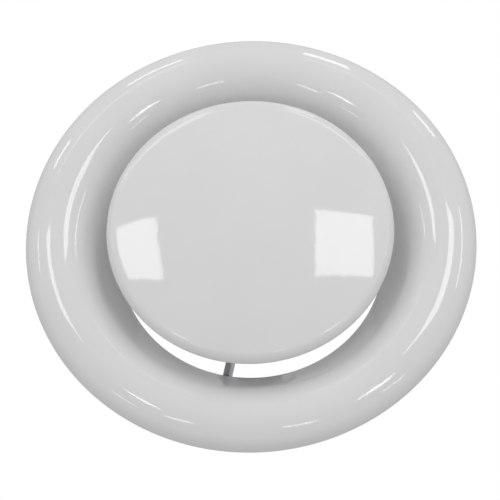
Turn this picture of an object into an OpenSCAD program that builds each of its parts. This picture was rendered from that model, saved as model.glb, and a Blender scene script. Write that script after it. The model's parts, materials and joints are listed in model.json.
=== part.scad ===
// Disc valve for a 100 mm round duct: a rolled sheet-steel ring with a short neck, a domed disc on a
// threaded spindle in front of its throat, a bridge that carries the spindle, and the mounting collar
// that the neck plugs into.
// The origin is on the valve's axis, in the ceiling plane. +Z points out of the face, into the room,
// so the valve lies on its back; in a ceiling the whole part is turned over.

/* [Ring] */
// Outside diameter of the rolled ring
rim_d = 140; // [138:0.5:142]
// Height of the ring's crest above the ceiling plane
rim_rise = 8; // [7:0.25:9]
// Diameter of the circle on which the ring is highest
crest_d = 120.4; // [119:0.2:122]
// Radius of the broad curve over the crest
crest_curve = 14; // [13:0.25:15]
// Radius of the tighter curve round the outer edge
edge_curve = 5.4; // [4.5:0.1:6]
// Slope of the funnel between the crest and the throat, from the ceiling plane
funnel_slope = 52.5; // [50:0.5:55]
// Radius of the bend from the funnel into the neck
lip_curve = 3.8; // [3:0.1:4.5]
// Inside diameter of the throat and of the neck behind it
throat_d = 82; // [81.4:0.1:82.6]
// Thickness of the painted sheet steel of the ring and the disc
sheet_t = 0.8; // [0.7:0.05:1]
// How far the neck reaches behind the ceiling plane
neck_depth = 40; // [40:0.5:43]

/* [Disc] */
// Diameter of the disc
disc_d = 89; // [88:0.2:89.6]
// Height of the disc's widest circle above the ceiling plane, as set
disc_height = 10.8; // [10.6:0.1:12]
// Radius of the rolled edge of the disc
disc_edge_curve = 3; // [2.5:0.1:3.4]
// Radius of the shallow dome
dome_curve = 182; // [175:1:190]
// Width of the edge turned in behind the disc
hem_w = 4; // [3:0.25:5]

/* [Spindle] */
// Thread diameter of the spindle
spindle_d = 8; // [8:8]
// Thread pitch of the spindle, which is its travel in one turn
spindle_pitch = 1.25; // [1.25:1.25]
// How far the disc can open from where it is set
open_travel = 8; // [6:0.25:8]

/* [Bridge] */
// Direction of the bridge bar in the ceiling plane
bridge_angle = 75.5; // [70:0.5:90]
// Thickness of the bridge bar, which stands on edge across the throat
bridge_t = 1.9; // [1.6:0.1:2.4]
// Height of the bridge bar
bridge_h = 9.5; // [9:0.25:10]

/* [Spring clips] */
// Direction of the first of the three spring clips
clip_angle = 114.5; // [112:0.5:118]
// Width of one spring clip
clip_w = 10; // [8:0.5:12]

/* [Mounting collar] */
// Outside diameter of the collar, which the 100 mm duct slides over
collar_d = 99; // [98.6:0.1:99.4]
// Length of the collar behind the ceiling plane
collar_len = 46; // [45:0.5:50]
// Outside diameter of the flange that lies on the ceiling
flange_d = 124; // [122:0.5:125]
// Diameter of the circle of screw holes in the flange
screw_circle_d = 113; // [112:0.5:114]

/* [Hidden] */
$fn = 96;

paint_white = [0.84, 0.84, 0.84];
zinc = [0.72, 0.74, 0.76];
bright_steel = [0.62, 0.63, 0.65];
galvanized = [0.66, 0.69, 0.71];
rubber_black = [0.10, 0.10, 0.11];
foam_grey = [0.30, 0.31, 0.33];

big = 400;        // larger than the valve, for the halves that cut a shape away
fit_gap = 0.05;   // running clearance of the spindle, and the gap beside each washer
seat_gap = 0.02;  // clearance of a piece that is pressed or riveted in
lap = 0.02;       // overlap of neighbouring stretches of a sheet's section
lap_step = 0.002; // step between the faces of those stretches, so that no face is left hair-thin

// The ring's section, drawn with the radius as x. Each arc is tangent to the next stretch.
rim_r = rim_d / 2;
throat_r = throat_d / 2;
neck_r = throat_r + sheet_t;
crest = [crest_d / 2, rim_rise - crest_curve];
edge_turn = asin((rim_r - crest[0] - edge_curve) / (crest_curve - edge_curve));
edge = crest + (crest_curve - edge_curve) * [sin(edge_turn), cos(edge_turn)];
funnel_normal = [-sin(funnel_slope), cos(funnel_slope)];
funnel_top = crest + crest_curve * funnel_normal;
funnel_foot_r = throat_r + lip_curve * (1 - sin(funnel_slope));
funnel_foot = [funnel_foot_r, funnel_top[1] - (funnel_top[0] - funnel_foot_r) * tan(funnel_slope)];
lip = funnel_foot - lip_curve * funnel_normal;
rim_hem_w = 3.2;
rim_hem_r = rim_r - 0.6 - rim_hem_w;

// The disc's section. The dome runs into the rolled edge where their normals agree.
disc_r = disc_d / 2;
disc_edge = [disc_r - disc_edge_curve, disc_height];
dome_reach = dome_curve - disc_edge_curve;
dome = [0, disc_height - sqrt(dome_reach * dome_reach - disc_edge[0] * disc_edge[0])];
dome_turn = asin(disc_edge[0] / dome_reach);
dome_back = dome_curve - sheet_t;

// The stack behind the disc, from the dome down to the jam nut
cup_r = 10;
cup_flange_r = 16;
cup_sheet = 1.2;
head_h = 3;
head_d = 13 / cos(30);
head_top = dome[1] + sqrt(dome_back * dome_back - head_d * head_d / 4) - fit_gap;
cup_seat = head_top - head_h;
washer_h = 1.6;
washer_r = 8;
hub_washer_top = cup_seat - cup_sheet - fit_gap;
spring_washer_top = hub_washer_top - washer_h - fit_gap;
spring_washer_r = 6.6;
jam_nut_top = spring_washer_top - washer_h;
jam_nut_h = 4;

// The stack in the throat, from the top of the bridge down to the spindle's end
spindle_r = spindle_d / 2;
bridge_top = lip[1] - 0.3;
bush_r = 7;
bush_h = bridge_h + 1;
bridge_hub_r = 9.5;
lock_washer_top = bridge_top - bush_h - fit_gap;
lock_nut_top = lock_washer_top - washer_h - fit_gap;
lock_nut_h = 6.5;
nut_flats = 13;
stop_top = lock_nut_top - lock_nut_h - spindle_pitch - open_travel - 0.3;
stop_h = 1;
stop_r = 6.5;
groove_r = spindle_r - 0.8;
spindle_end = stop_top - stop_h - 1.9;

// Rivets, clips, seals and collar
tab_w = 13;
tab_h = 6.8;
tab_top = bridge_top - 3.4;
rivet_r = 1.5;
rivet_head_r = 2.1;
rivet_head_h = 0.8;
rivet_spread = 3.9;
bridge_rivet_z = tab_top - tab_h / 2;
clip_sheet = 0.5;
clip_foot_top = -10;
clip_foot_h = 7.5;
clip_leaf_h = 11.5;
clip_steps = 24;
clip_rivet_z = clip_foot_top - clip_foot_h / 2;
clip_angles = [for (k = [0:2]) clip_angle + 120 * k];
collar_r = collar_d / 2;
collar_t = 0.7;
collar_bore_r = collar_r - collar_t;
collar_bend = 1.3;
collar_taper_h = 2.5;
collar_taper = 0.6;
screw_hole_r = 2.1;
screw_holes = 4;
seal_top = 8.8 - neck_depth;
seal_h = 8;
seal_base_t = 1.4;
seal_lip_t = 1;
seal_reach = collar_bore_r - 0.3;
gasket_in = crest[0] + 2.3;
gasket_out = rim_hem_r - 1;

// ---- Outlines ----

// A sector of a circle about the origin, up to half a turn wide
module sector(r, from, to) {
  mid = (from + to) / 2;
  polygon([
    [0, 0],
    r * [cos(from), sin(from)],
    r * [cos(mid), sin(mid)],
    r * [cos(to), sin(to)]
  ]);
}

// The angle that the overlap takes up on an arc of radius r
function lap_turn(r) = lap / r * 180 / PI;

// A strip of sheet bent round a centre, with its outer face at radius r
module bent_sheet(centre, r, thickness, from, to) {
  translate(centre)
    intersection() {
      difference() {
        circle(r, $fn = 240);
        circle(r - thickness, $fn = 240);
      }
      sector(r * 1.6, from, to);
    }
}

// A straight strip of sheet between two points of its show face, with its back along `inward`
module flat_sheet(a, b, inward, thickness) {
  polygon([a, b, b + thickness * inward, a + thickness * inward]);
}

module ring_section() {
  crest_lap = lap_turn(crest_curve);
  lip_lap = lap_turn(lip_curve);
  back = -lap_step * funnel_normal;
  bent_sheet(crest, crest_curve, sheet_t, 90 - edge_turn - crest_lap, 90 + funnel_slope + crest_lap);
  difference() {
    bent_sheet(edge, edge_curve - lap_step, sheet_t, -60, 90 - edge_turn);
    translate([0, -big]) square(big);
  }
  flat_sheet(funnel_top + back, funnel_foot + back, -funnel_normal, sheet_t);
  bent_sheet(lip, lip_curve, sheet_t, 90 + funnel_slope - lip_lap, 180 + lip_lap);
  flat_sheet([throat_r + lap_step, lip[1]], [throat_r + lap_step, -neck_depth], [1, 0], sheet_t);
  translate([rim_hem_r, 0]) square([rim_hem_w, sheet_t]);
}

module disc_section() {
  bent_sheet(dome, dome_curve, sheet_t, 90 - dome_turn - lap_turn(dome_curve), 90);
  bent_sheet(disc_edge, disc_edge_curve - lap_step, sheet_t, -90, 90 - dome_turn);
  translate([disc_edge[0] - hem_w, disc_edge[1] - disc_edge_curve])
    square([hem_w, sheet_t]);
}

// ---- Small pieces that repeat ----

// A flat round washer hanging below z = top
module washer(top, outer_r, hole_r, h) {
  translate([0, 0, top - h])
    difference() {
      cylinder(r = outer_r, h = h);
      translate([0, 0, -1]) cylinder(r = hole_r, h = h + 2);
    }
}

// A hexagon nut hanging below z = top, with both ends chamfered
module hex_nut(top, flats, hole_r, h) {
  corner_r = flats / 2 / cos(30);
  chamfer = 0.6;
  translate([0, 0, top - h])
    difference() {
      intersection() {
        cylinder(r = corner_r, h = h, $fn = 6);
        union() {
          cylinder(r1 = corner_r - chamfer, r2 = corner_r, h = chamfer);
          translate([0, 0, chamfer]) cylinder(r = corner_r, h = h - 2 * chamfer);
          translate([0, 0, h - chamfer]) cylinder(r1 = corner_r, r2 = corner_r - chamfer, h = chamfer);
        }
      }
      translate([0, 0, -1]) cylinder(r = hole_r, h = h + 2);
    }
}

// The rounded head of a rivet, its flat side on z = 0
module rivet_head() {
  ball_r = (rivet_head_r * rivet_head_r + rivet_head_h * rivet_head_h) / (2 * rivet_head_h);
  intersection() {
    translate([0, 0, rivet_head_h - ball_r]) sphere(r = ball_r);
    cylinder(r = rivet_head_r, h = rivet_head_h + 1);
  }
}

// A rivet lying along a radius at the given direction and height, from radius `from` out to radius `to`
module radial_rivet(direction, z, from, to) {
  rotate([0, 0, direction])
    translate([0, 0, z])
      rotate([0, 90, 0]) {
        translate([0, 0, from]) cylinder(r = rivet_r, h = to - from);
        translate([0, 0, to]) rivet_head();
        translate([0, 0, from]) mirror([0, 0, 1]) rivet_head();
      }
}

// A hole for one of those rivets
module radial_hole(direction, z) {
  rotate([0, 0, direction])
    translate([throat_r - 4, 0, z])
      rotate([0, 90, 0])
        cylinder(r = rivet_r + seat_gap, h = 8);
}

// The four rivets' directions: two beside each end of the bar
rivet_turn = asin(rivet_spread / throat_r);
bridge_rivet_angles = [
  for (side = [0, 180]) for (s = [-1, 1]) bridge_angle + side + s * rivet_turn
];

// ---- The ring and what is fixed to it ----

module valve_ring() {
  color(paint_white)
    difference() {
      rotate_extrude($fn = 180) ring_section();
      for (a = bridge_rivet_angles) radial_hole(a, bridge_rivet_z);
      for (a = clip_angles) radial_hole(a, clip_rivet_z);
    }
}

// Foam strip behind the rim, which seals against the ceiling
module rim_gasket() {
  color(foam_grey)
    rotate_extrude($fn = 180)
      intersection() {
        translate([gasket_in, 0]) square([gasket_out - gasket_in, rim_rise]);
        translate(crest) circle(crest_curve - sheet_t - seat_gap, $fn = 240);
      }
}

// Rubber seal on the neck, with two soft lips against the collar's wall
module neck_seal() {
  base_r = neck_r + seat_gap;
  lip_foot = base_r + seal_base_t - 0.2;
  color(rubber_black)
    rotate_extrude($fn = 180) {
      translate([base_r, seal_top - seal_h]) square([seal_base_t, seal_h]);
      for (z = [seal_top - 4.2, seal_top - 0.6])
        polygon([
          [lip_foot, z - seal_lip_t],
          [seal_reach, z - seal_lip_t + 2.2],
          [seal_reach, z + 2.2 - 0.2],
          [lip_foot, z + 0.4]
        ]);
    }
}

// Bar standing on edge across the throat, with a ring for the bush and a riveted tab at each end
module spindle_bridge() {
  arm_start = bush_r + 1;
  arm_end = throat_r - 1;
  color(zinc)
    rotate([0, 0, bridge_angle])
      difference() {
        union() {
          translate([0, 0, bridge_top - bridge_h]) cylinder(r = bridge_hub_r, h = bridge_h);
          for (side = [0, 180])
            rotate([0, 0, side]) {
              translate([0, bridge_t / 2, 0])
                rotate([90, 0, 0])
                  linear_extrude(bridge_t)
                    polygon([
                      [arm_start, bridge_top],
                      [arm_end, bridge_top],
                      [arm_end, tab_top - tab_h],
                      [arm_start, bridge_top - bridge_h]
                    ]);
              intersection() {
                translate([0, 0, tab_top - tab_h])
                  difference() {
                    cylinder(r = throat_r - seat_gap, h = tab_h);
                    translate([0, 0, -1]) cylinder(r = throat_r - bridge_t, h = tab_h + 2);
                  }
                translate([0, -tab_w / 2, tab_top - tab_h - 1]) cube([throat_r + 1, tab_w, tab_h + 2]);
              }
            }
        }
        translate([0, 0, bridge_top - bridge_h - 1]) cylinder(r = bush_r, h = bridge_h + 2);
        for (a = bridge_rivet_angles) radial_hole(a - bridge_angle, bridge_rivet_z);
      }
}

module bridge_rivets() {
  color(zinc)
    for (a = bridge_rivet_angles)
      radial_rivet(a, bridge_rivet_z, throat_r - bridge_t - 0.09, neck_r + seat_gap);
}

// Threaded bush pressed into the bridge's ring
module bridge_bush() {
  color(zinc)
    washer(bridge_top, bush_r - seat_gap, spindle_r + fit_gap, bush_h);
}

// One leaf spring, shown in the direction `angle`, gripping the collar's wall
module spring_clip(angle) {
  foot_r = neck_r + 0.05;
  bulge = collar_bore_r - 0.4 - clip_sheet - foot_r;
  leaf = [
    for (k = [0:clip_steps])
      let (u = k / clip_steps)
        [foot_r + bulge * (1 - cos(280 * u)) / 2, clip_foot_top - clip_foot_h - clip_leaf_h * u]
  ];
  back = [for (k = [clip_steps:-1:0]) leaf[k] + [clip_sheet, 0]];
  color(bright_steel)
    rotate([0, 0, angle])
      difference() {
        translate([0, clip_w / 2, 0])
          rotate([90, 0, 0])
            linear_extrude(clip_w)
              polygon(concat([[foot_r, clip_foot_top]], leaf, back, [[foot_r + clip_sheet, clip_foot_top]]));
        radial_hole(0, clip_rivet_z);
      }
}

module spring_clip_1() {
  spring_clip(clip_angles[0]);
}

module spring_clip_2() {
  spring_clip(clip_angles[1]);
}

module spring_clip_3() {
  spring_clip(clip_angles[2]);
}

module clip_rivets() {
  color(zinc)
    for (a = clip_angles)
      radial_rivet(a, clip_rivet_z, throat_r - 0.09, neck_r + 0.05 + clip_sheet + seat_gap);
}

// ---- The disc and what turns with it ----

module valve_disc() {
  color(paint_white)
    rotate_extrude($fn = 180) disc_section();
}

// Pressed cup spot-welded behind the dome; the spindle's head is trapped in it
module disc_hub_cup() {
  flange_from = 90 - asin(cup_flange_r / dome_back);
  flange_to = 90 - asin((cup_r - cup_sheet) / dome_back);
  flange_z = dome[1] + sqrt(dome_back * dome_back - cup_r * cup_r);
  color(zinc)
    rotate_extrude() {
      bent_sheet(dome, dome_back - seat_gap, cup_sheet, flange_from, flange_to);
      translate([cup_r - cup_sheet, cup_seat - cup_sheet])
        square([cup_sheet, flange_z - cup_seat + cup_sheet - 0.6]);
      translate([spindle_r + seat_gap, cup_seat - cup_sheet])
        square([cup_r - spindle_r - seat_gap, cup_sheet]);
    }
}

// Threaded spindle with a low hexagon head, and a groove for the end stop
module spindle() {
  color(zinc) {
    translate([0, 0, cup_seat]) cylinder(d = head_d, h = head_h, $fn = 6);
    rotate_extrude()
      polygon([
        [0, cup_seat],
        [spindle_r, cup_seat],
        [spindle_r, stop_top],
        [groove_r, stop_top],
        [groove_r, stop_top - stop_h],
        [spindle_r, stop_top - stop_h],
        [spindle_r, spindle_end + 0.8],
        [spindle_r - 0.8, spindle_end],
        [0, spindle_end]
      ]);
  }
}

module hub_washer() {
  color(zinc)
    washer(hub_washer_top, washer_r, spindle_r + fit_gap, washer_h);
}

// Split spring washer between the plain washer and the jam nut
module hub_spring_washer() {
  split_w = 0.8;
  color(bright_steel)
    difference() {
      washer(spring_washer_top, spring_washer_r, spindle_r + seat_gap, washer_h);
      translate([0, -split_w / 2, spring_washer_top - washer_h - 1])
        cube([spring_washer_r + 1, split_w, washer_h + 2]);
    }
}

module hub_jam_nut() {
  color(zinc)
    hex_nut(jam_nut_top, nut_flats, spindle_r + seat_gap, jam_nut_h);
}

// Clip in the spindle's groove, which keeps the disc from being screwed right out
module end_stop_clip() {
  mouth_w = 2 * groove_r - 0.4;
  color(bright_steel)
    difference() {
      washer(stop_top, stop_r, groove_r, stop_h);
      translate([0, -mouth_w / 2, stop_top - stop_h - 1])
        cube([stop_r + 1, mouth_w, stop_h + 2]);
    }
}

// ---- What locks the spindle behind the bridge ----

module lock_washer() {
  color(zinc)
    washer(lock_washer_top, washer_r, spindle_r + fit_gap, washer_h);
}

module lock_nut() {
  color(zinc)
    hex_nut(lock_nut_top, nut_flats, spindle_r + fit_gap, lock_nut_h);
}

// ---- The collar that the valve plugs into ----

module mounting_collar() {
  bend = [collar_r + collar_bend, -collar_bend];
  color(galvanized)
    difference() {
      rotate_extrude($fn = 180) {
        polygon([
          [collar_bore_r, bend[1]],
          [collar_bore_r, -collar_len + collar_taper_h],
          [collar_bore_r - collar_taper, -collar_len],
          [collar_r - collar_taper, -collar_len],
          [collar_r, -collar_len + collar_taper_h],
          [collar_r, bend[1]]
        ]);
        bent_sheet(bend, collar_bend + collar_t, collar_t, 90, 180);
        translate([bend[0], 0]) square([flange_d / 2 - bend[0], collar_t]);
      }
      for (k = [0:screw_holes - 1])
        rotate([0, 0, 45 + 360 / screw_holes * k])
          translate([screw_circle_d / 2, 0, -1])
            cylinder(r = screw_hole_r, h = 3);
    }
}

valve_ring();
rim_gasket();
neck_seal();
spindle_bridge();
bridge_rivets();
bridge_bush();
spring_clip_1();
spring_clip_2();
spring_clip_3();
clip_rivets();
valve_disc();
disc_hub_cup();
spindle();
hub_washer();
hub_spring_washer();
hub_jam_nut();
lock_washer();
lock_nut();
end_stop_clip();
mounting_collar();
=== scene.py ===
import json
import math

import bmesh
import bpy
from mathutils import Matrix, Vector


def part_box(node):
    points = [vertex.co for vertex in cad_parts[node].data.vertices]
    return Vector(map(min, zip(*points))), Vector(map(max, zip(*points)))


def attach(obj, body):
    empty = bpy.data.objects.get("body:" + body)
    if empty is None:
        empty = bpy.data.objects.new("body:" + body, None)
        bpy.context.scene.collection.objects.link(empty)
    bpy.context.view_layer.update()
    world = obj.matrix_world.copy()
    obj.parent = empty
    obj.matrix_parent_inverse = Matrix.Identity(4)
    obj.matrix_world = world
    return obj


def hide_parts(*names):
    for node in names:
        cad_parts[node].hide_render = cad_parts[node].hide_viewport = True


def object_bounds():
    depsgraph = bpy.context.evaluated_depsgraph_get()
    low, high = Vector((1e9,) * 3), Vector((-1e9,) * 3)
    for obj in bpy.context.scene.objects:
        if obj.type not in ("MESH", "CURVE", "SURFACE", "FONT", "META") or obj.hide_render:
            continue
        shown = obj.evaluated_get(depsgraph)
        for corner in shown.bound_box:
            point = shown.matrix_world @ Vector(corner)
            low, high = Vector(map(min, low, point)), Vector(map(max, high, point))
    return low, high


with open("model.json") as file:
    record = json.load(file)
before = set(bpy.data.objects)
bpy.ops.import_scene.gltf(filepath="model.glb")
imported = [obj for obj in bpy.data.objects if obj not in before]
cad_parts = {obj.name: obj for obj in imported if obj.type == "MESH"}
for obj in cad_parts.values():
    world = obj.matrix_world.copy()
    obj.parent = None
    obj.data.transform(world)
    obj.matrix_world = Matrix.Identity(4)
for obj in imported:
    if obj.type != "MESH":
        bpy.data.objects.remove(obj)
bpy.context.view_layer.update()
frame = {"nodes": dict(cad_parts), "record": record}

MM = 0.001
scene = bpy.context.scene

# ---- Sizes in millimetres and degrees, the same as in the CAD ----
SHEET = 0.8
RIM_R, RIM_RISE, CREST_R, CREST_CURVE, EDGE_CURVE = 70.0, 8.0, 60.2, 14.0, 5.4
FUNNEL_SLOPE, THROAT_R, LIP_CURVE, NECK_DEPTH = 52.5, 41.0, 3.8, 40.0
HEM_END_R, HEM_BEND = 66.2, 1.2
DISC_R, DISC_HEIGHT, DISC_EDGE, DOME_CURVE, DISC_HEM = 44.5, 10.8, 3.0, 182.0, 4.0
PITCH, SPINDLE_R, THREAD_DEPTH = 1.25, 4.0, 0.72
HEAD_H, HEAD_NECK, HEAD_FLATS, HEAD_R = 3.0, 0.6, 13.0, 7.5
SPINDLE_CHAMFER, GROOVE_DEPTH = 0.8, 0.8
BRIDGE_ANGLE, BRIDGE_T, BRIDGE_H, BRIDGE_HUB_R, BUSH_R, BRIDGE_DROP = 75.5, 1.9, 9.5, 9.5, 7.0, 0.3
TAB_W, TAB_H, TAB_DROP, TAB_CORNER = 13.0, 6.8, 3.4, 1.6
CLIP_ANGLE, CLIP_W, CLIP_T, CLIP_TOP, CLIP_FOOT, CLIP_LEAF = 114.5, 10.0, 0.5, -10.0, 7.5, 11.5
CLIP_CORNER, CLIP_WAVE, CLIP_SEAT, CLIP_CLEARANCE = 1.8, 280.0, 0.05, 0.4
COLLAR_R, COLLAR_T, COLLAR_LEN, FLANGE_R = 49.5, 0.7, 46.0, 62.0
COLLAR_BEND, TAPER_H, TAPER, TAPER_BEND, TAPER_TURN = 1.3, 2.5, 0.6, 6.0, 14.0
SCREW_CIRCLE_R, SCREW_HOLE_R, SCREW_HOLES, FIRST_HOLE = 56.5, 2.1, 4, 45.0
SEAL_TOP, SEAL_H, SEAL_BASE, SEAL_LIP, SEAL_CLEARANCE = -31.2, 8.0, 1.4, 1.0, 0.3
SEAL_LIP_DROPS, SEAL_RISE, SEAL_ROUND = (4.2, 0.6), 2.2, 0.35
GASKET_IN, GASKET_OUT, GASKET_SEAT, GASKET_ROUND = 62.5, 65.2, 0.05, 0.45
SEAT_GAP = 0.02

# Angle between two faces above which their edge looks sharp
SHARP = 35


def cos(a):
    return math.cos(math.radians(a))


def sin(a):
    return math.sin(math.radians(a))


# ---- Outlines, as lists of (radius, height) ----
def arc(centre, r, start, end, steps):
    """Points along an arc, both ends included."""
    angles = [start + (end - start) * k / steps for k in range(steps + 1)]
    return [(centre[0] + r * cos(a), centre[1] + r * sin(a)) for a in angles]


def line(a, b, steps):
    """Points along a straight line, the last one left out."""
    return [tuple(p + (q - p) * k / steps for p, q in zip(a, b)) for k in range(steps)]


def offset(path, distance):
    """The path moved to its left by a distance."""
    moved = []
    for k, p in enumerate(path):
        a, b = path[max(k - 1, 0)], path[min(k + 1, len(path) - 1)]
        dx, dy = b[0] - a[0], b[1] - a[1]
        size = math.hypot(dx, dy)
        moved.append((p[0] - dy / size * distance, p[1] + dx / size * distance))
    return moved


def cap(a, b, steps=4):
    """A half round from a to b, on the left of the way, without its ends."""
    mid = ((a[0] + b[0]) / 2, (a[1] + b[1]) / 2)
    start = math.degrees(math.atan2(a[1] - mid[1], a[0] - mid[0]))
    r = math.hypot(a[0] - mid[0], a[1] - mid[1])
    return arc(mid, r, start, start + 180, steps)[1:-1]


def sheet_loop(path, thickness, round_end=True):
    """The closed outline of a sheet whose show face follows the path, with its back on the left."""
    back = offset(path, thickness)
    end = cap(path[-1], back[-1]) if round_end else []
    return path + end + back[::-1] + cap(back[0], path[0])


def rounded(points, radius, steps=4):
    """A closed polygon with its corners rounded, as far as its sides leave room."""
    out = []
    n = len(points)
    for k, p in enumerate(points):
        a, b = Vector(points[k - 1]), Vector(points[(k + 1) % n])
        p = Vector(p)
        u, v = (a - p), (b - p)
        half = u.angle(v) / 2
        reach = min(radius / math.tan(half), 0.45 * u.length, 0.45 * v.length)
        start, end = p + u.normalized() * reach, p + v.normalized() * reach
        for i in range(steps + 1):
            t = i / steps
            out.append(tuple((1 - t) ** 2 * start + 2 * t * (1 - t) * p + t * t * end))
    return out


# ---- Meshes ----
def shade(mesh, sharp=SHARP):
    """Smooth faces, with the edges above the angle left sharp."""
    for poly in mesh.polygons:
        poly.use_smooth = True
    mesh.set_sharp_from_angle(angle=math.radians(sharp))


def new_object(name, bm, sharp=SHARP):
    """A smooth-shaded object from a bmesh in millimetres."""
    bmesh.ops.remove_doubles(bm, verts=bm.verts, dist=1e-5)
    bmesh.ops.recalc_face_normals(bm, faces=bm.faces)
    bmesh.ops.scale(bm, vec=(MM, MM, MM), verts=bm.verts)
    mesh = bpy.data.meshes.new(name)
    bm.to_mesh(mesh)
    bm.free()
    shade(mesh, sharp)
    obj = bpy.data.objects.new(name, mesh)
    scene.collection.objects.link(obj)
    return obj


def ring_of(bm, points):
    return [bm.verts.new(p) for p in points]


def circle(radii, z):
    """Points round the Z axis at a height, one for each radius in the list."""
    n = len(radii)
    return [(r * cos(360 * k / n), r * sin(360 * k / n), z) for k, r in enumerate(radii)]


def join_rings(bm, a, b):
    """Faces between two rings of verts; a ring of one vert is a pole."""
    n = max(len(a), len(b))
    for k in range(n):
        j = (k + 1) % n
        quad = [a[k % len(a)], a[j % len(a)], b[j % len(b)], b[k % len(b)]]
        face = []
        for v in quad:
            if v not in face:
                face.append(v)
        if len(face) > 2:
            bm.faces.new(face)


def lathe(name, loop, segments=240):
    """A closed outline turned about the Z axis."""
    bm = bmesh.new()
    rings = [ring_of(bm, circle([r] * (1 if r < 1e-6 else segments), z)) for r, z in loop]
    for k, ring in enumerate(rings):
        after = rings[(k + 1) % len(rings)]
        if len(ring) > 1 or len(after) > 1:
            join_rings(bm, ring, after)
    return new_object(name, bm)


def loft(bm, loops):
    """A closed solid through loops of equally many points, added to the bmesh."""
    rings = [ring_of(bm, loop) for loop in loops]
    for a, b in zip(rings, rings[1:]):
        join_rings(bm, a, b)
    bm.faces.new(rings[0])
    bm.faces.new(rings[-1])


def combine(obj, tool, operation):
    """Adds the tool's solid to the object, or takes it away, and removes the tool."""
    mod = obj.modifiers.new("combine", "BOOLEAN")
    mod.operation = operation
    mod.solver = "EXACT"
    mod.object = tool
    graph = bpy.context.evaluated_depsgraph_get()
    mesh = bpy.data.meshes.new_from_object(obj.evaluated_get(graph))
    old = obj.data
    obj.modifiers.clear()
    obj.data = mesh
    bpy.data.meshes.remove(old)
    mesh.name = obj.name
    bpy.data.objects.remove(tool)


def turn(bm, angle):
    """Turns a bmesh about the Z axis."""
    matrix = Matrix.Rotation(math.radians(angle), 3, "Z")
    bmesh.ops.rotate(bm, verts=bm.verts, cent=(0, 0, 0), matrix=matrix)


# ---- Materials ----
class Nodes:
    """A material's nodes, with short calls to add and join them."""

    def __init__(self, name):
        self.mat = bpy.data.materials.new(name)
        self.mat.use_nodes = True
        self.tree = self.mat.node_tree
        self.shader = self.tree.nodes["Principled BSDF"]
        self.coords = self.tree.nodes.new("ShaderNodeTexCoord").outputs["Object"]

    def join(self, a, b):
        self.tree.links.new(a, b)

    def noise(self, scale, detail=3.0, roughness=0.5, vector=None):
        """Noise from 0 to 1; the scale is in patches for one metre."""
        n = self.tree.nodes.new("ShaderNodeTexNoise")
        n.inputs["Scale"].default_value = scale
        n.inputs["Detail"].default_value = detail
        n.inputs["Roughness"].default_value = roughness
        self.join(vector or self.coords, n.inputs["Vector"])
        return n.outputs["Fac"]

    def cells(self, scale, output):
        """Crystal-like cells: a colour for each, or the distance from its middle."""
        n = self.tree.nodes.new("ShaderNodeTexVoronoi")
        n.inputs["Scale"].default_value = scale
        self.join(self.coords, n.inputs["Vector"])
        return n.outputs[output]

    def stretched(self, scale):
        """Coordinates that draw a pattern out along an axis."""
        n = self.tree.nodes.new("ShaderNodeMapping")
        n.inputs["Scale"].default_value = scale
        self.join(self.coords, n.inputs["Vector"])
        return n.outputs["Vector"]

    def span(self, value, low, high, start=0.3, end=0.7):
        """The value spread from start..end onto low..high."""
        n = self.tree.nodes.new("ShaderNodeMapRange")
        n.inputs["From Min"].default_value = start
        n.inputs["From Max"].default_value = end
        n.inputs["To Min"].default_value = low
        n.inputs["To Max"].default_value = high
        self.join(value, n.inputs["Value"])
        return n.outputs["Result"]

    def ramp(self, value, *stops):
        """A colour for the value, from stops of (place, colour)."""
        n = self.tree.nodes.new("ShaderNodeValToRGB")
        ramp = n.color_ramp
        while len(ramp.elements) < len(stops):
            ramp.elements.new(0.5)
        for element, (place, colour) in zip(ramp.elements, stops):
            element.position = place
            element.color = (*colour, 1)
        self.join(value, n.inputs["Fac"])
        return n.outputs["Color"]

    def bump(self, height, strength, distance, below=None):
        """A bump, on top of another one if that is given; the distance is in metres."""
        n = self.tree.nodes.new("ShaderNodeBump")
        n.inputs["Strength"].default_value = strength
        n.inputs["Distance"].default_value = distance
        self.join(height, n.inputs["Height"])
        if below is not None:
            self.join(below, n.inputs["Normal"])
        return n.outputs["Normal"]

    def colour(self, socket):
        self.join(socket, self.shader.inputs["Base Color"])

    def roughness(self, socket):
        self.join(socket, self.shader.inputs["Roughness"])

    def normal(self, socket):
        self.join(socket, self.shader.inputs["Normal"])

    def fixed(self, **values):
        """Values that are the same all over, set on the shader itself."""
        for key, value in values.items():
            self.shader.inputs[key.replace("_", " ")].default_value = value


def powder_coat():
    """Glossy white paint, with the slight waves of stoved powder."""
    n = Nodes("white_powder_coat")
    n.colour(n.ramp(n.noise(45, 4, 0.6), (0.3, (0.845, 0.844, 0.843)), (0.7, (0.870, 0.869, 0.868))))
    n.roughness(n.span(n.noise(160, 3), 0.035, 0.055))
    flow = n.bump(n.noise(330, 2, 0.4), 0.04, 0.0003)
    n.normal(n.bump(n.noise(1500, 2, 0.5), 0.03, 0.00005, flow))
    n.fixed(IOR=1.5)
    return n.mat


def zinc():
    """Bright zinc plating, a little blue, with a few yellower patches."""
    n = Nodes("zinc_plated_steel")
    blue, bright, yellow = (0.51, 0.53, 0.56), (0.60, 0.62, 0.65), (0.62, 0.62, 0.60)
    n.colour(n.ramp(n.noise(260, 4, 0.6), (0.3, blue), (0.55, bright), (0.75, yellow)))
    n.roughness(n.span(n.noise(700, 3), 0.36, 0.50))
    n.normal(n.bump(n.noise(2600, 2), 0.06, 0.00004))
    n.fixed(Metallic=1.0)
    return n.mat


def spring_steel():
    """Rolled strip, with its grain along the leaf."""
    n = Nodes("spring_steel")
    grain = n.noise(900, 5, 0.7, vector=n.stretched((1.0, 1.0, 0.06)))
    n.colour(n.ramp(grain, (0.3, (0.42, 0.42, 0.43)), (0.7, (0.56, 0.56, 0.57))))
    n.roughness(n.span(grain, 0.22, 0.40))
    n.normal(n.bump(grain, 0.12, 0.00004))
    n.fixed(Metallic=1.0)
    return n.mat


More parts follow.
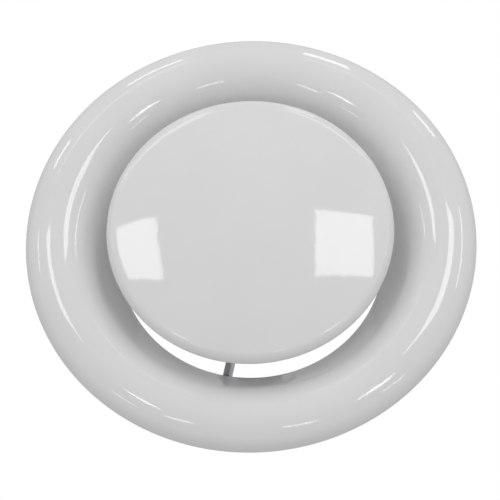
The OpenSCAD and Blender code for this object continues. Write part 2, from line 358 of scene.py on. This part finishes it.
def galvanized():
    """Hot-dip zinc: small spangles, each with its own tone, gloss and height."""
    n = Nodes("galvanized_steel")
    spangle = n.tree.nodes.new("ShaderNodeSeparateColor")
    n.join(n.cells(420, "Color"), spangle.inputs["Color"])
    tone, gloss, relief = spangle.outputs
    dark, middle, light = (0.55, 0.57, 0.59), (0.60, 0.62, 0.64), (0.65, 0.67, 0.69)
    n.colour(n.ramp(tone, (0.0, dark), (0.5, middle), (1.0, light)))
    n.roughness(n.span(gloss, 0.32, 0.42, 0, 1))
    grain = n.bump(n.noise(1800, 4, 0.6), 0.12, 0.00005)
    n.normal(n.bump(relief, 0.06, 0.0001, grain))
    n.fixed(Metallic=1.0)
    return n.mat


def rubber():
    """Black moulded rubber with a faint bloom."""
    n = Nodes("rubber_seal")
    n.colour(n.ramp(n.noise(180, 5, 0.6), (0.3, (0.014, 0.014, 0.015)), (0.7, (0.034, 0.034, 0.036))))
    n.roughness(n.span(n.noise(500, 4), 0.48, 0.68))
    n.normal(n.bump(n.noise(1500, 4), 0.2, 0.00008))
    n.fixed(Specular_IOR_Level=0.4)
    return n.mat


def foam():
    """Dark open foam, with painted shade darkening the middle of each pore."""
    n = Nodes("foam_seal")
    pore_relief_and_shade = n.cells(1500, "Distance")
    # Painted shade: the colour darkens towards the middle of each pore, where the bump sinks it.
    n.colour(n.ramp(pore_relief_and_shade, (0.0, (0.030, 0.031, 0.034)), (0.5, (0.085, 0.086, 0.090))))
    n.roughness(n.span(n.noise(400, 3), 0.80, 0.95))
    n.normal(n.bump(pore_relief_and_shade, 0.7, 0.0003))
    n.fixed(Specular_IOR_Level=0.25)
    return n.mat


FINISH = {
    "white_powder_coat": powder_coat(),
    "zinc_plated_steel": zinc(),
    "spring_steel": spring_steel(),
    "galvanized_steel": galvanized(),
    "rubber_seal": rubber(),
    "foam_seal": foam(),
}
SLOT_OF = {part["node"]: part["material_slot"] for part in frame["record"]["subparts"]}
BODIES = frame["record"]["behaviour"]["bodies"]
BODY_OF = {node: body for body, nodes in BODIES.items() for node in nodes}


def finish(obj, node):
    """Gives the object the finish that the record names for a node."""
    obj.data.materials.clear()
    obj.data.materials.append(FINISH[SLOT_OF[node]])


def stand_for(piece, node):
    """The piece takes the CAD node's place, on its body and with its finish."""
    finish(piece, node)
    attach(piece, BODY_OF[node])
    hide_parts(node)


# ---- The ring: one sheet from the hem, over the crest and down the funnel into the neck ----
# Centres of its arcs: over the crest, round the edge, in the hem and from the funnel into the neck
crest = (CREST_R, RIM_RISE - CREST_CURVE)
edge_turn = math.degrees(math.asin((RIM_R - CREST_R - EDGE_CURVE) / (CREST_CURVE - EDGE_CURVE)))
edge_reach = CREST_CURVE - EDGE_CURVE
edge = (crest[0] + edge_reach * sin(edge_turn), crest[1] + edge_reach * cos(edge_turn))
hem_turn = math.degrees(math.asin((edge[1] - HEM_BEND) / (EDGE_CURVE - HEM_BEND)))
hem = (edge[0] + (EDGE_CURVE - HEM_BEND) * cos(hem_turn), HEM_BEND)
slope_cos, slope_sin = cos(FUNNEL_SLOPE), sin(FUNNEL_SLOPE)
funnel_top = (crest[0] - CREST_CURVE * slope_sin, crest[1] + CREST_CURVE * slope_cos)
foot_r = THROAT_R + LIP_CURVE * (1 - slope_sin)
funnel_foot = (foot_r, funnel_top[1] - (funnel_top[0] - foot_r) * slope_sin / slope_cos)
lip = (funnel_foot[0] + LIP_CURVE * slope_sin, funnel_foot[1] - LIP_CURVE * slope_cos)

ring_path = line((HEM_END_R, 0), (hem[0], 0), 3)
ring_path += arc(hem, HEM_BEND, -90, -hem_turn, 10)[:-1]
ring_path += arc(edge, EDGE_CURVE, -hem_turn, 90 - edge_turn, 22)[:-1]
ring_path += arc(crest, CREST_CURVE, 90 - edge_turn, 90 + FUNNEL_SLOPE, 40)[:-1]
ring_path += line(funnel_top, funnel_foot, 6)
ring_path += arc(lip, LIP_CURVE, 90 + FUNNEL_SLOPE, 180, 14)[:-1]
ring_path += line((THROAT_R, lip[1]), (THROAT_R, -NECK_DEPTH), 12)
ring_path.append((THROAT_R, -NECK_DEPTH))
stand_for(lathe("rolled_ring", sheet_loop(ring_path, SHEET), 300), "valve_ring")

# ---- The disc: a shallow dome with its edge rolled round and turned in ----
disc_edge = (DISC_R - DISC_EDGE, DISC_HEIGHT)
dome_reach = DOME_CURVE - DISC_EDGE
dome_z = DISC_HEIGHT - math.sqrt(dome_reach**2 - disc_edge[0] ** 2)
dome_turn = math.degrees(math.asin(disc_edge[0] / dome_reach))
disc_back = DISC_HEIGHT - DISC_EDGE
disc_path = line((disc_edge[0] - DISC_HEM, disc_back), (disc_edge[0], disc_back), 4)
disc_path += arc(disc_edge, DISC_EDGE, -90, 90 - dome_turn, 26)[:-1]
disc_path += arc((0, dome_z), DOME_CURVE, 90 - dome_turn, 90, 40)
ON_AXIS = 1e-3
disc_loop = sheet_loop(disc_path, SHEET, round_end=False)
disc_loop = [(0.0 if r < ON_AXIS else r, z) for r, z in disc_loop]
stand_for(lathe("domed_disc", disc_loop, 300), "valve_disc")

# ---- Foam strip behind the rim, and the rubber seal on the neck ----
gasket_curve = CREST_CURVE - SHEET - SEAT_GAP
gasket_top = [
    (r, crest[1] + math.sqrt(gasket_curve**2 - (r - CREST_R) ** 2))
    for r in (GASKET_OUT, (GASKET_OUT + GASKET_IN) / 2, GASKET_IN)
]
gasket_foot = [(GASKET_IN, GASKET_SEAT), (GASKET_OUT, GASKET_SEAT)]
gasket = lathe("foam_rim_strip", rounded(gasket_foot + gasket_top, GASKET_ROUND))
stand_for(gasket, "rim_gasket")

seal_in = THROAT_R + SHEET + SEAT_GAP
lip_root = seal_in + SEAL_BASE
seal_reach = COLLAR_R - COLLAR_T - SEAL_CLEARANCE
seal_outline = [(seal_in, SEAL_TOP - SEAL_H), (lip_root, SEAL_TOP - SEAL_H)]
for drop in SEAL_LIP_DROPS:
    z = SEAL_TOP - drop
    seal_outline += [
        (lip_root, z - SEAL_LIP - 0.1),
        (seal_reach, z - SEAL_LIP + SEAL_RISE),
        (seal_reach - 0.05, z + 2.0),
        (lip_root, z + 0.4),
    ]
seal_outline += [(lip_root, SEAL_TOP), (seal_in, SEAL_TOP)]
stand_for(lathe("rubber_neck_seal", rounded(seal_outline, SEAL_ROUND)), "neck_seal")

# ---- The bridge: a bar on edge, a ring for the bush, and a curved tab at each end ----
bridge_top = lip[1] - BRIDGE_DROP
tab_top = bridge_top - TAB_DROP


def box_loop(centre, side, up, width, height, radius=0.3):
    """A rounded rectangle about a centre, spanned by two directions."""
    w, h = width / 2, height / 2
    corners = rounded([(-w, -h), (w, -h), (w, h), (-w, h)], radius, 3)
    return [tuple(Vector(centre) + Vector(side) * a + Vector(up) * b) for a, b in corners]


def bridge_arm():
    """Cross-sections of an arm, along X from inside the hub into its tab."""
    steps = 8
    start, end = BUSH_R + 1.0, THROAT_R - 0.9
    loops = []
    for k in range(steps + 1):
        t = k / steps
        low = (bridge_top - BRIDGE_H) * (1 - t) + (tab_top - TAB_H) * t
        centre = (start + (end - start) * t, 0, (bridge_top + low) / 2)
        loops.append(box_loop(centre, (0, 1, 0), (0, 0, 1), BRIDGE_T, bridge_top - low))
    return loops


def bridge_tab():
    """Cross-sections of a tab that lies against the neck, with cut corners."""
    steps = 12
    corner_part = 0.2
    half = math.degrees(math.asin(TAB_W / 2 / THROAT_R))
    mid_r = THROAT_R - BRIDGE_T / 2 - SEAT_GAP / 2
    loops = []
    for k in range(steps + 1):
        t = 2 * k / steps - 1
        a = half * t
        into_corner = max(0.0, (abs(t) - 1 + corner_part) / corner_part)
        centre = (mid_r * cos(a), mid_r * sin(a), tab_top - TAB_H / 2)
        height = TAB_H - TAB_CORNER * into_corner**2
        loops.append(box_loop(centre, (cos(a), sin(a), 0), (0, 0, 1), BRIDGE_T - SEAT_GAP, height))
    return loops


hub_low = bridge_top - BRIDGE_H
hub_outline = [
    (BUSH_R, hub_low), (BRIDGE_HUB_R, hub_low), (BRIDGE_HUB_R, bridge_top), (BUSH_R, bridge_top)
]
bridge = lathe("steel_bridge", rounded(hub_outline, 0.35), 72)
for side in (0, 180):
    for loops in (bridge_arm(), bridge_tab()):
        bm = bmesh.new()
        loft(bm, loops)
        turn(bm, BRIDGE_ANGLE + side)
        combine(bridge, new_object("bridge_part", bm), "UNION")
shade(bridge.data)
stand_for(bridge, "spindle_bridge")


# ---- The three spring clips ----
def spring_clip(name, angle, node):
    """A leaf of spring steel: a flat foot, a bulge that grips, and a tail that comes back out."""
    foot = THROAT_R + SHEET + CLIP_SEAT
    bulge = COLLAR_R - COLLAR_T - CLIP_CLEARANCE - CLIP_T - foot
    foot_steps, leaf_steps = 6, 36
    path = line((foot, CLIP_TOP), (foot, CLIP_TOP - CLIP_FOOT), foot_steps)
    for k in range(leaf_steps + 1):
        u = k / leaf_steps
        path.append((foot + bulge * (1 - cos(CLIP_WAVE * u)) / 2, CLIP_TOP - CLIP_FOOT - CLIP_LEAF * u))
    mid = offset(path, CLIP_T / 2)
    length = [0.0]
    for a, b in zip(mid, mid[1:]):
        length.append(length[-1] + math.dist(a, b))
    loops = []
    for k, (r, z) in enumerate(mid):
        a, b = mid[max(k - 1, 0)], mid[min(k + 1, len(mid) - 1)]
        size = math.dist(a, b)
        out = ((a[1] - b[1]) / size, 0, (b[0] - a[0]) / size)
        from_end = min(length[k], length[-1] - length[k], CLIP_CORNER)
        corner = CLIP_CORNER - math.sqrt(CLIP_CORNER**2 - (CLIP_CORNER - from_end) ** 2)
        loops.append(box_loop((r, 0, z), (0, 1, 0), out, CLIP_W - 2 * corner, CLIP_T, 0.14))
    bm = bmesh.new()
    loft(bm, loops)
    turn(bm, angle)
    stand_for(new_object(name, bm, 40), node)


for k in range(3):
    spring_clip(f"leaf_spring_{k + 1}", CLIP_ANGLE + 120 * k, f"spring_clip_{k + 1}")


# ---- The spindle, with its thread, its low hexagon head and the end stop's groove ----
spindle_low, spindle_high = (corner[2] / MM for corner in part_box("spindle"))
stop_low, stop_high = (corner[2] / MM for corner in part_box("end_stop_clip"))
head_low = spindle_high - HEAD_H
AROUND = 48
ROWS_PER_TURN = 10
CREST_FLAT, FLANK = 0.14, 0.62


def hexagon(angle, flats):
    """The radius of a hexagon in a direction, from its size across the flats."""
    return flats / 2 / cos((angle % 60) - 30)


def thread(angle, z):
    """The thread's radius: 60 degree flanks with narrow flats at crest and root."""
    phase = (z / PITCH - angle / 360) % 1.0
    down_flank = (abs(phase - 0.5) * 2 - CREST_FLAT) / FLANK
    return SPINDLE_R - THREAD_DEPTH * min(max(down_flank, 0.0), 1.0)


around = [360 * k / AROUND for k in range(AROUND)]
thread_top = head_low - HEAD_NECK
bm = bmesh.new()
rings = [ring_of(bm, [(0, 0, spindle_low)])]
rows = int((thread_top - spindle_low) / (PITCH / ROWS_PER_TURN))
for k in range(rows + 1):
    z = spindle_low + (thread_top - spindle_low) * k / rows
    widest = SPINDLE_R - SPINDLE_CHAMFER + (z - spindle_low)
    if stop_low - SEAT_GAP < z < stop_high + SEAT_GAP:
        widest = min(widest, SPINDLE_R - GROOVE_DEPTH)
    rings.append(ring_of(bm, circle([min(thread(a, z), widest) for a in around], z)))
# The neck under the head, and the head: a hexagon cut out of a circle, with its edges rounded off
for z, r in ((head_low - 0.5, 3.6), (head_low, 3.9)):
    rings.append(ring_of(bm, circle([r] * AROUND, z)))
for z, r in (
    (head_low, HEAD_R - 0.3),
    (head_low + 0.35, HEAD_R),
    (spindle_high - 0.5, HEAD_R),
    (spindle_high, HEAD_R - 1.2),
):
    rings.append(ring_of(bm, circle([min(hexagon(a, HEAD_FLATS), r) for a in around], z)))
rings.append(ring_of(bm, [(0, 0, spindle_high)]))
for a, b in zip(rings, rings[1:]):
    join_rings(bm, a, b)
stand_for(new_object("threaded_spindle", bm, 50), "spindle")

# ---- The mounting collar: a sleeve, a rounded mouth and a flange with four screw holes ----
bend = (COLLAR_R + COLLAR_BEND, -COLLAR_BEND)
bore = COLLAR_R - COLLAR_T
taper_top = TAPER_H - COLLAR_LEN
collar_path = [(FLANGE_R, COLLAR_T), (FLANGE_R - 3, COLLAR_T), (bend[0] + 3, COLLAR_T)]
collar_path += arc(bend, COLLAR_BEND + COLLAR_T, 90, 180, 10)
collar_path += line((bore, bend[1] - 2), (bore, taper_top), 10)
collar_path += arc((bore - TAPER_BEND, taper_top), TAPER_BEND, 0, -TAPER_TURN, 3)
collar_path.append((bore - TAPER, COLLAR_T / 2 - COLLAR_LEN))
collar = lathe("flanged_collar", sheet_loop(collar_path, COLLAR_T))
for k in range(SCREW_HOLES):
    a = FIRST_HOLE + 360 / SCREW_HOLES * k
    centre = Vector((SCREW_CIRCLE_R * cos(a), SCREW_CIRCLE_R * sin(a), 0))
    bm = bmesh.new()
    loft(bm, [[centre + Vector(p) for p in circle([SCREW_HOLE_R] * 32, z)] for z in (-2.0, 3.0)])
    combine(collar, new_object("screw_hole", bm), "DIFFERENCE")
shade(collar.data)
stand_for(collar, "mounting_collar")

# ---- Rivets, nuts and washers keep their CAD shapes ----
for node in (
    "bridge_bush", "bridge_rivets", "clip_rivets", "disc_hub_cup", "end_stop_clip",
    "hub_jam_nut", "hub_spring_washer", "hub_washer", "lock_nut", "lock_washer",
):
    found = frame["nodes"][node]
    for obj in found if isinstance(found, (list, tuple)) else [found]:
        finish(obj, node)

# ---- Stage: floor, light and camera ----
FLOOR_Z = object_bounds()[0][2]


def stage_panel(name, corners, strength):
    """A flat panel that gives white light."""
    mesh = bpy.data.meshes.new(name)
    mesh.from_pydata(corners, [], [tuple(range(len(corners)))])
    obj = bpy.data.objects.new(name, mesh)
    scene.collection.objects.link(obj)
    mat = bpy.data.materials.new(name)
    mat.use_nodes = True
    tree = mat.node_tree
    tree.nodes.remove(tree.nodes["Principled BSDF"])
    glow = tree.nodes.new("ShaderNodeEmission")
    glow.inputs["Color"].default_value = (1, 1, 1, 1)
    glow.inputs["Strength"].default_value = strength
    tree.links.new(glow.outputs["Emission"], tree.nodes["Material Output"].inputs["Surface"])
    mesh.materials.append(mat)
    return obj


FLOOR_REACH = 6.0
floor_corners = [
    (x * FLOOR_REACH, y * FLOOR_REACH, FLOOR_Z) for x, y in ((-1, -1), (1, -1), (1, 1), (-1, 1))
]
floor = stage_panel("pale_floor", floor_corners, 1.0)
floor.visible_diffuse = False
floor.visible_glossy = False
floor.visible_shadow = False

# Soft boxes above the object, and smaller lights round them, all at one height in metres. Each corner is
# how far it stands to the right and to the back for one unit of height.
BOX_H = 1.5
KEY, SMALL, LAMP, FAINT = 5.7, 5.5, 9.0, 3.5
SOFT_BOXES = {
    "soft_box_left": (
        KEY, [(-0.555, 0.567), (-0.371, 0.555), (-0.339, 0.245), (-0.490, 0.287), (-0.538, 0.419)]
    ),
    "soft_box_right": (KEY, [(0.255, 0.518), (0.503, 0.528), (0.466, 0.227), (0.229, 0.211)]),
    "strip_back_right": (FAINT, [(0.20, 1.32), (0.23, 1.40), (0.66, 1.00), (0.63, 0.95)]),
    "strip_back_left": (FAINT, [(-0.14, 1.32), (-0.18, 1.40), (-0.70, 0.92), (-0.66, 0.87)]),
    "lamp_front_right": (LAMP, [(0.32, -0.18), (0.32, -0.07), (0.46, -0.06), (0.46, -0.15)]),
    "lamp_front_left": (LAMP, [(-0.32, -0.16), (-0.32, -0.08), (-0.42, -0.03), (-0.42, -0.12)]),
    "strip_front_right": (SMALL, [(0.62, -0.43), (0.62, -0.36), (0.82, -0.31), (0.82, -0.37)]),
    "strip_front_mid": (SMALL, [(0.08, -0.38), (0.08, -0.31), (0.23, -0.36), (0.23, -0.43)]),
    "strip_front_left": (SMALL, [(-0.26, -0.35), (-0.26, -0.28), (-0.41, -0.32), (-0.41, -0.38)]),
    "strip_far_left": (SMALL, [(-0.70, -0.48), (-0.70, -0.41), (-0.84, -0.31), (-0.84, -0.38)]),
    "side_right": (SMALL, [(1.00, 0.25), (1.10, 0.25), (1.14, 0.78), (1.02, 0.78)]),
    "side_left": (SMALL, [(-1.18, 0.55), (-1.30, 0.55), (-1.30, 0.85), (-1.18, 0.85)]),
    "window_back_right": (SMALL, [(1.08, 3.32), (0.66, 2.04), (0.37, 2.11), (0.61, 3.44)]),
    "window_back_left": (SMALL, [(-0.41, 2.57), (-0.85, 2.46), (-0.67, 1.94), (-0.32, 2.03)]),
    "window_far_left": (SMALL, [(-1.38, 2.05), (-1.62, 1.86), (-1.23, 1.42), (-1.05, 1.56)]),
    "window_far_right": (SMALL, [(2.40, 2.86), (2.03, 3.13), (1.42, 2.18), (1.67, 1.99)]),
}
for name, (strength, corners) in SOFT_BOXES.items():
    box = stage_panel(name, [(x * BOX_H, y * BOX_H, BOX_H) for x, y in corners], strength)
    box.visible_camera = False

# The room's light: its strength by the height it comes from, where -1 shines straight up at the object and
# 1 straight down, and a little more from the back. The camera sees a white room.
ROOM_LIGHT = ((-1.0, 0.52), (-0.3, 0.52), (0.1, 0.50), (0.45, 0.57), (0.80, 0.49), (1.0, 0.42))
ROOM_BACK = 0.02
world = bpy.data.worlds.new("studio")
scene.world = world
world.use_nodes = True
tree = world.node_tree
background = tree.nodes["Background"]
direction = tree.nodes.new("ShaderNodeTexCoord").outputs["Generated"]
split = tree.nodes.new("ShaderNodeSeparateXYZ")
tree.links.new(direction, split.inputs["Vector"])
height = tree.nodes.new("ShaderNodeMapRange")
height.inputs["From Min"].default_value = -1.0
height.inputs["From Max"].default_value = 1.0
tree.links.new(split.outputs["Z"], height.inputs["Value"])
by_height = tree.nodes.new("ShaderNodeValToRGB")
stops = by_height.color_ramp
stops.interpolation = "B_SPLINE"
while len(stops.elements) < len(ROOM_LIGHT):
    stops.elements.new(0.5)
for element, (z, strength) in zip(stops.elements, ROOM_LIGHT):
    element.position = (z + 1) / 2
    element.color = (strength, strength, strength, 1)
tree.links.new(height.outputs["Result"], by_height.inputs["Fac"])
level = tree.nodes.new("ShaderNodeMath")
level.operation = "MULTIPLY_ADD"
level.inputs[1].default_value = ROOM_BACK
tree.links.new(split.outputs["Y"], level.inputs[0])
tree.links.new(by_height.outputs["Color"], level.inputs[2])
light = tree.nodes.new("ShaderNodeLightPath")
pick = tree.nodes.new("ShaderNodeMix")
pick.data_type = "FLOAT"
pick.inputs["B"].default_value = 1.0
tree.links.new(light.outputs["Is Camera Ray"], pick.inputs["Factor"])
tree.links.new(level.outputs["Value"], pick.inputs["A"])
tree.links.new(pick.outputs["Result"], background.inputs["Strength"])
background.inputs["Color"].default_value = (1, 1, 1, 1)

# The camera looks down at the face from the front, turned a little about its own axis. Its distance and
# the width it sees there are in metres, its aim in millimetres from the origin.
ELEVATION, DISTANCE, FIELD, SENSOR = 65.2, 1.6, 0.15541, 36.0
CAMERA_TURN, AIM_RIGHT, AIM_UP = 3.33, -0.42, -1.31
look = Vector((0, -cos(ELEVATION), sin(ELEVATION)))
up = Vector((0, sin(ELEVATION), cos(ELEVATION)))
right = Vector((1, 0, 0))
camera_data = bpy.data.cameras.new("camera")
camera_data.sensor_width = SENSOR
camera_data.lens = SENSOR * DISTANCE / FIELD
camera_data.clip_start = 0.01
camera = bpy.data.objects.new("camera", camera_data)
scene.collection.objects.link(camera)
turned_right = right * cos(CAMERA_TURN) - up * sin(CAMERA_TURN)
turned_up = up * cos(CAMERA_TURN) + right * sin(CAMERA_TURN)
place = (right * AIM_RIGHT + up * AIM_UP) * MM + look * DISTANCE
axes = Matrix((turned_right, turned_up, look)).transposed().to_4x4()
camera.matrix_world = Matrix.Translation(place) @ axes
scene.camera = camera
scene.view_settings.view_transform = "Standard"
